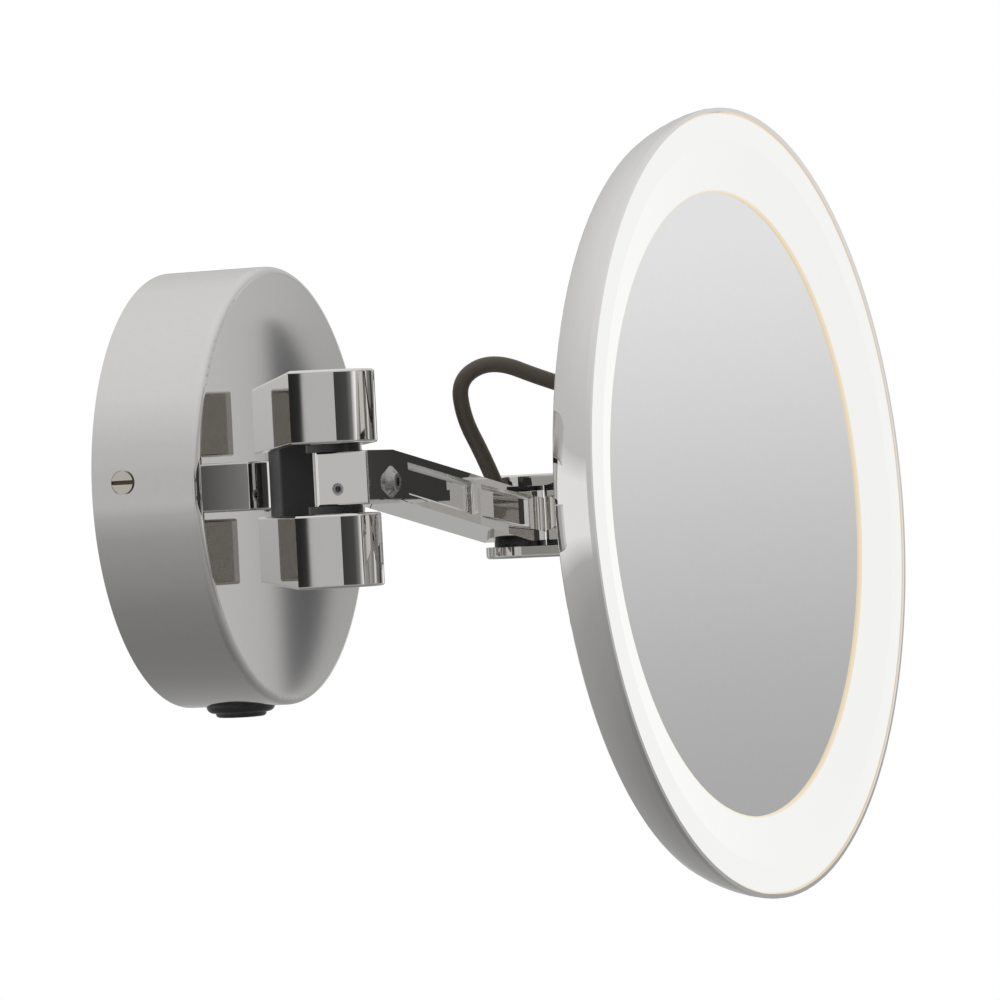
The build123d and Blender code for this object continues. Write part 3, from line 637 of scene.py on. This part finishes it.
def screw_solid(kind, sides, radius, depth, middle, top_radius=None):
    """Cylinder or cone of the tree, moved along its axis to its middle."""
    solid = screw_tree.nodes.new("GeometryNodeMesh" + kind)
    solid.inputs["Vertices"].default_value = sides
    if kind == "Cone":
        link(screw_tree, radius, solid.inputs["Radius Bottom"])
        link(screw_tree, top_radius, solid.inputs["Radius Top"])
    else:
        link(screw_tree, radius, solid.inputs["Radius"])
    link(screw_tree, depth, solid.inputs["Depth"])
    lift = screw_tree.nodes.new("ShaderNodeCombineXYZ")
    link(screw_tree, middle, lift.inputs["Z"])
    move = screw_tree.nodes.new("GeometryNodeTransform")
    link(screw_tree, solid.outputs["Mesh"], move.inputs["Geometry"])
    link(screw_tree, lift.outputs[0], move.inputs["Translation"])
    return move.outputs[0]


head_radius, head_height = given["Head Radius"], given["Head Height"]
half_height = screw_math("MULTIPLY", head_height, 0.5)
head_solid = screw_solid("Cylinder", HEAD_SIDES, head_radius, head_height, half_height)
print("screw tree nodes", len(screw_tree.nodes))

# %% Chamfer, socket and shank
CHAMFER_SHARE, SHANK_ROOT_SHARE = 0.12, 0.1
SOCKET_SIDES, SHANK_SIDES = 6, 24


def screw_boolean(operation, *meshes):
    """Boolean of two meshes. A difference takes the second from the first."""
    node = screw_tree.nodes.new("GeometryNodeMeshBoolean")
    node.operation = operation
    if operation == "DIFFERENCE":
        link(screw_tree, meshes[0], node.inputs["Mesh 1"])
        meshes = meshes[1:]
    for mesh in meshes:
        link(screw_tree, mesh, node.inputs["Mesh 2"])
    return node.outputs["Mesh"]


chamfer = screw_math("MULTIPLY", head_radius, CHAMFER_SHARE)
cone_top = screw_math("SUBTRACT", head_radius, chamfer)
cone_depth = screw_math("ADD", head_height, chamfer)
cone_bottom = screw_math("ADD", cone_top, cone_depth)
cone_place = screw_math("MULTIPLY", chamfer, -1.0)
chamfer_cone = screw_solid("Cone", HEAD_SIDES, cone_bottom, cone_depth, cone_place, cone_top)
cut_head = screw_boolean("INTERSECT", head_solid, chamfer_cone)
socket_radius = given["Socket Radius"]
socket_span = screw_math("MULTIPLY", given["Socket Depth"], 2.0)
socket_solid = screw_solid("Cylinder", SOCKET_SIDES, socket_radius, socket_span, head_height)
socket_head = screw_boolean("DIFFERENCE", cut_head, socket_solid)
shank_radius, shank_length = given["Shank Radius"], given["Shank Length"]
shank_root = screw_math("MULTIPLY", head_height, SHANK_ROOT_SHARE)
shank_depth = screw_math("ADD", shank_length, shank_root)
shank_middle = screw_math("MULTIPLY", screw_math("SUBTRACT", shank_root, shank_length), 0.5)
shank_solid = screw_solid("Cylinder", SHANK_SIDES, shank_radius, shank_depth, shank_middle)
whole_screw = screw_boolean("UNION", socket_head, shank_solid)
print("screw tree nodes", len(screw_tree.nodes))

# %% [markdown]
# The screw is set on every point. Its faces are shaded smooth and its hard edges stay
# sharp, so the round head has no facets. Realize Instances makes plain geometry of it.

# %% One screw on each point
HARD_EDGE = math.radians(30)
axis = screw_tree.nodes.new("GeometryNodeInputNamedAttribute")
axis.data_type = "FLOAT_VECTOR"
axis.inputs["Name"].default_value = "axis"
align = screw_tree.nodes.new("FunctionNodeAlignRotationToVector")
align.axis = "Z"
link(screw_tree, axis.outputs["Attribute"], align.inputs["Vector"])
spread = screw_tree.nodes.new("GeometryNodeInstanceOnPoints")
link(screw_tree, given["Geometry"], spread.inputs["Points"])
link(screw_tree, whole_screw, spread.inputs["Instance"])
link(screw_tree, align.outputs[0], spread.inputs["Rotation"])
plain = screw_tree.nodes.new("GeometryNodeRealizeInstances")
link(screw_tree, spread.outputs[0], plain.inputs[0])
round_faces = screw_tree.nodes.new("GeometryNodeSetShadeSmooth")
link(screw_tree, plain.outputs[0], round_faces.inputs["Geometry"])
edge_angle = screw_tree.nodes.new("GeometryNodeInputMeshEdgeAngle")
hard = screw_tree.nodes.new("FunctionNodeCompare")
hard.inputs["B"].default_value = HARD_EDGE
link(screw_tree, edge_angle.outputs["Unsigned Angle"], hard.inputs["A"])
hard_edges = screw_tree.nodes.new("GeometryNodeSetShadeSmooth")
hard_edges.domain = "EDGE"
hard_edges.inputs["Shade Smooth"].default_value = False
link(screw_tree, round_faces.outputs[0], hard_edges.inputs["Geometry"])
link(screw_tree, hard.outputs[0], hard_edges.inputs["Selection"])
paint = screw_tree.nodes.new("GeometryNodeSetMaterial")
link(screw_tree, hard_edges.outputs[0], paint.inputs["Geometry"])
link(screw_tree, given["Finish"], paint.inputs["Material"])
link(screw_tree, paint.outputs[0], made.inputs["Geometry"])
print("screw tree nodes", len(screw_tree.nodes))

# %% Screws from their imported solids
MERGE_DISTANCE = 1e-6


def separate_solids(node):
    """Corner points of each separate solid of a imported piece, as arrays."""
    shape = bmesh.new()
    shape.from_mesh(bpy.data.objects[node].data)
    bmesh.ops.remove_doubles(shape, verts=shape.verts, dist=MERGE_DISTANCE)
    left, solids = set(shape.verts), []
    while left:
        reached, edge_of_search = set(), [left.pop()]
        while edge_of_search:
            vertex = edge_of_search.pop()
            reached.add(vertex)
            for edge in vertex.link_edges:
                following = edge.other_vert(vertex)
                if following in left:
                    left.remove(following)
                    edge_of_search.append(following)
        solids.append(np.array([vertex.co for vertex in reached]))
    shape.free()
    return solids


def make_screws(name, node, body, toward, sizes):
    """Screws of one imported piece, as a plain mesh that rides on its body."""
    seats, axes = [], []
    for points in separate_solids(node):
        low, high = points.min(axis=0), points.max(axis=0)
        middle = Vector((low + high) / 2)
        outward = toward(middle).normalized()
        reach = max((Vector(point) - middle).dot(outward) for point in points)
        seats.append(middle + outward * (reach - sizes["Head Height"]))
        axes.append(outward)
    mesh = bpy.data.meshes.new(name + "_points")
    mesh.from_pydata(seats, [], [])
    directions = mesh.attributes.new("axis", "FLOAT_VECTOR", "POINT")
    directions.data.foreach_set("vector", [v for axis in axes for v in axis])
    holder = bpy.data.objects.new(name, mesh)
    bpy.context.collection.objects.link(holder)
    modifier = holder.modifiers.new("screws", "NODES")
    modifier.node_group = screw_tree
    for title, value in {**sizes, "Finish": plain_steel}.items():
        modifier[screw_input[title]] = value
    graph = bpy.context.evaluated_depsgraph_get()
    result = bpy.data.meshes.new_from_object(holder.evaluated_get(graph))
    holder.modifiers.remove(modifier)
    holder.data = result
    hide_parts(node)
    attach(holder, body)
    print(name, "screws", len(seats), "faces", len(result.polygons))


def screw_sizes(*values):
    """Sizes of a screw in metres, from millimetres in the tree's order."""
    return {title: value * MILLIMETRE for title, value in zip(SCREW_SIZES, values)}


def away_from(pin):
    """Direction up or down, away from the height of a pin."""
    return lambda spot: Vector((0, 0, math.copysign(1.0, spot.z - pin.z)))


# %% Every set of screws
SHOULDER = Vector(joints["swing_a"]["pos_m"])
ELBOW = Vector(joints["elbow_b"]["pos_m"])
make_screws(
    "bar_socket_screws",
    "bar_screws",
    "arm_1",
    away_from(SHOULDER),
    screw_sizes(3.6, 3.0, 2.0, 6.0, 1.9, 1.6),
)
make_screws(
    "fork_socket_screws",
    "clevis_screws",
    "link",
    away_from(SWIVEL),
    screw_sizes(2.6, 1.5, 1.5, 5.0, 1.3, 0.9),
)
make_screws(
    "bracket_socket_screws",
    "bracket_screws",
    "head",
    lambda spot: -head_normal,
    screw_sizes(2.6, 2.0, 1.5, 4.0, 1.3, 1.1),
)
make_screws(
    "shoulder_set_screw",
    "set_screw_a",
    "base",
    lambda spot: Vector((spot.x - SHOULDER.x, spot.y - SHOULDER.y, 0)),
    screw_sizes(1.5, 3.0, 1.2, 0.5, 0.85, 1.2),
)
make_screws(
    "elbow_set_screw",
    "set_screw_b",
    "arm_2",
    lambda spot: Vector((ELBOW.x - SWIVEL.x, ELBOW.y - SWIVEL.y, 0)),
    screw_sizes(1.5, 2.2, 1.2, 0.5, 0.85, 1.2),
)

# %% [markdown]
# ## Light and background
# Plating has no looks of its own: it shows the room. A studio puts white and black
# boards round such a fitting, so that its upright faces get clean dark and light
# bands. The world does that here. Away from the horizon it is only bright above and
# dark below, and near the horizon a ramp round the compass holds the boards. A stop
# with no alpha leaves a steeper gradient for the mirror. Only reflections see the
# boards: painted surfaces get one plain level, and the camera sees white.

# %% Direction of a ray
world = bpy.data.worlds.new("white_tent")
bpy.context.scene.world = world
world.use_nodes = True
tree = world.node_tree
tree.nodes.clear()
way = tree.nodes.new("ShaderNodeTexCoord")
split = tree.nodes.new("ShaderNodeSeparateXYZ")
link(tree, way.outputs["Generated"], split.inputs[0])
east, north, upward = split.outputs
compass = math_node(tree, "ARCTAN2", north, east)
turn_share = math_node(tree, "FRACT", math_node(tree, "DIVIDE", compass, 2 * math.pi))
from_below = math_node(tree, "ADD", math_node(tree, "ARCSINE", upward), math.pi / 2)
height_share = math_node(tree, "DIVIDE", from_below, math.pi)
print("world nodes", len(tree.nodes))

# %% Boards round the compass
# Each row is a compass angle in degrees, a level and an alpha.
BOARDS = [
    (0, 0.95, 1),
    (4, 0.90, 1),
    (8, 0.05, 1),
    (16, 0.05, 1),
    (19, 0.22, 1),
    (31, 0.25, 1),
    (36, 0.90, 1),
    (44, 0.90, 1),
    (50, 0.42, 1),
    (78, 0.38, 1),
    (86, 0.90, 1),
    (136, 0.90, 1),
    (146, 0.58, 1),
    (200, 0.52, 1),
    (213.0, 0.52, 1),
    (215.5, 0.05, 1),
    (244, 0.07, 1),
    (256, 0.20, 1),
    (267, 1.00, 1),
    (292, 1.00, 1),
    (302, 0.70, 1),
    (314, 0.40, 1),
    (321, 0.30, 1),
    (323, 0.30, 0),
    (334, 0.62, 0),
    (336, 0.62, 1),
    (337.2, 0.58, 1),
    (338.4, 0.42, 1),
    (345, 0.38, 1),
    (350, 0.90, 1),
    (360, 0.95, 1),
]
FULL_TURN = 360


def ramp_node(share, stops):
    """Colour ramp of the world with (place, level, alpha) rows as its stops."""
    ramp = tree.nodes.new("ShaderNodeValToRGB")
    elements = ramp.color_ramp.elements
    while len(elements) > 1:
        elements.remove(elements[-1])
    for index, (place, level, alpha) in enumerate(stops):
        element = elements[0] if index == 0 else elements.new(place)
        element.position = place
        element.color = (level, level, level, alpha)
    link(tree, share, ramp.inputs["Fac"])
    return ramp.outputs


board_stops = [(angle / FULL_TURN, level, alpha) for angle, level, alpha in BOARDS]
boards = ramp_node(turn_share, board_stops)
print("board stops", len(board_stops))

# %% Dark slit between the boards
# One edge of the slit is sharper than a ramp can hold, so the slit has its own steps.
SLIT_START, SLIT_END, SLIT_LEVEL = 204.0, 211.62, 0.04
SLIT_FADE, SLIT_EDGE = 2, 0.02


def compass_step(start, end, low, high):
    """Value that goes from low to high between two compass angles."""
    return map_range(tree, turn_share, start / FULL_TURN, end / FULL_TURN, low, high)


slit_opens = compass_step(SLIT_START - SLIT_FADE, SLIT_START, 1.0, SLIT_LEVEL)
slit_shuts = compass_step(SLIT_END - SLIT_EDGE, SLIT_END + SLIT_EDGE, SLIT_LEVEL, 1.0)
slit = math_node(tree, "MAXIMUM", slit_opens, slit_shuts)
print("slit from", SLIT_START, "to", SLIT_END)

# %% Sky above and below the boards
# Each row is an angle above the horizon in degrees and a level.
SKY = [
    (-90, 0.18),
    (-55, 0.25),
    (-45, 0.29),
    (-22, 0.37),
    (-12, 0.47),
    (0, 0.55),
    (20, 0.62),
    (45, 0.78),
    (90, 0.86),
]
MIRROR_SKY = [
    (-12, 0.42),
    (-3, 0.44),
    (-1.2, 0.494),
    (1.0, 0.613),
    (3.3, 0.754),
    (4.8, 0.83),
    (12, 0.86),
]
HORIZON_FULL, HORIZON_NONE = 0.10, 0.20


def sky_color(stops):
    """Colour of a sky whose rows hold heights in degrees."""
    rows = [((angle + 90) / 180, level, 1) for angle, level in stops]
    return ramp_node(height_share, rows)["Color"]


board_pick = mix_node(tree, boards["Alpha"], sky_color(MIRROR_SKY), boards["Color"])
board_light = tree.nodes.new("ShaderNodeVectorMath")
board_light.operation = "SCALE"
link(tree, board_pick, board_light.inputs[0])
link(tree, slit, board_light.inputs["Scale"])
off_level = math_node(tree, "ABSOLUTE", upward)
near_horizon = map_range(tree, off_level, HORIZON_NONE, HORIZON_FULL)
room = mix_node(tree, near_horizon, sky_color(SKY), board_light.outputs[0])
print("sky stops", len(SKY), "mirror sky stops", len(MIRROR_SKY))

# %% What each ray sees
PLAIN_LIGHT = (0.95, 0.95, 0.95, 1)
WHITE = (1, 1, 1, 1)
REFLECTIONS = 12
ray = tree.nodes.new("ShaderNodeLightPath").outputs
mirror_rays = math_node(tree, "MAXIMUM", ray["Is Glossy Ray"], ray["Is Transmission Ray"])
mirrored = mix_node(tree, mirror_rays, PLAIN_LIGHT, room)
light = tree.nodes.new("ShaderNodeBackground")
out = tree.nodes.new("ShaderNodeOutputWorld")
link(tree, mix_node(tree, ray["Is Camera Ray"], mirrored, WHITE), light.inputs["Color"])
link(tree, light.outputs[0], out.inputs["Surface"])
bpy.context.scene.view_settings.view_transform = "Standard"
bpy.context.scene.cycles.glossy_bounces = REFLECTIONS
print("world nodes", len(tree.nodes), "reflections", REFLECTIONS)

# %% [markdown]
# A pale floor lies well below the object, which hangs on a wall and stands on nothing.
# The camera sees the floor as white, like a catalogue page, and reflections don't see it.

# %% Pale floor well below
FLOOR_DROP, FLOOR_REACH = -0.35, 6
FLOOR_CORNERS = ((-1, -1), (1, -1), (1, 1), (-1, 1))


def flat_piece(name, corners, paint):
    """Object with one flat painted face."""
    mesh = bpy.data.meshes.new(name)
    mesh.from_pydata(corners, [], [range(len(corners))])
    mesh.materials.append(paint)
    piece = bpy.data.objects.new(name, mesh)
    bpy.context.collection.objects.link(piece)
    return piece


floor_paint, tree, shader = new_material("floor_paint")
set_inputs(shader, {"Base Color": (0.75, 0.75, 0.75, 1), "Roughness": 0.8})
ray = tree.nodes.new("ShaderNodeLightPath").outputs
glow = tree.nodes.new("ShaderNodeEmission")
mix = tree.nodes.new("ShaderNodeMixShader")
link(tree, ray["Is Camera Ray"], mix.inputs[0])
link(tree, shader.outputs[0], mix.inputs[1])
link(tree, glow.outputs[0], mix.inputs[2])
link(tree, mix.outputs[0], tree.nodes["Material Output"].inputs["Surface"])
floor = flat_piece(
    "pale_floor",
    [(x * FLOOR_REACH, y * FLOOR_REACH, FLOOR_DROP) for x, y in FLOOR_CORNERS],
    floor_paint,
)
floor.visible_glossy = False
print("floor at", FLOOR_DROP)

# %% [markdown]
# One narrow grey card stands beyond the object. Only reflections see it: it gives the
# flat face of the base the two dark leaf shapes that show above and below the arm.

# %% Card for the base's face
CARD_MIDDLE = Vector((1.867, -0.785, -0.004))
CARD_ACROSS = Vector((0.377, 0.926, 0.0))
CARD_LEFT, CARD_WIDTH, CARD_HALF_HEIGHT = -0.025, 0.041, 0.147
CARD_STEPS = 24
CARD_GREY = {
    "Base Color": (0.0, 0.0, 0.0, 1),
    "Specular IOR Level": 0.0,
    "Emission Color": (0.09, 0.09, 0.095, 1),
    "Emission Strength": 1.0,
}
outline = []
for step in range(CARD_STEPS + 1):
    sweep = math.pi * (step / CARD_STEPS - 0.5)
    across = CARD_LEFT + CARD_WIDTH * math.cos(sweep)
    rise = CARD_HALF_HEIGHT * math.sin(sweep)
    outline.append(CARD_MIDDLE + CARD_ACROSS * across + Vector((0, 0, rise)))
card_paint, tree, shader = new_material("card_paint")
set_inputs(shader, CARD_GREY)
card = flat_piece("grey_card", outline, card_paint)
card.visible_camera = False
card.visible_shadow = False
print("card corners", len(outline))
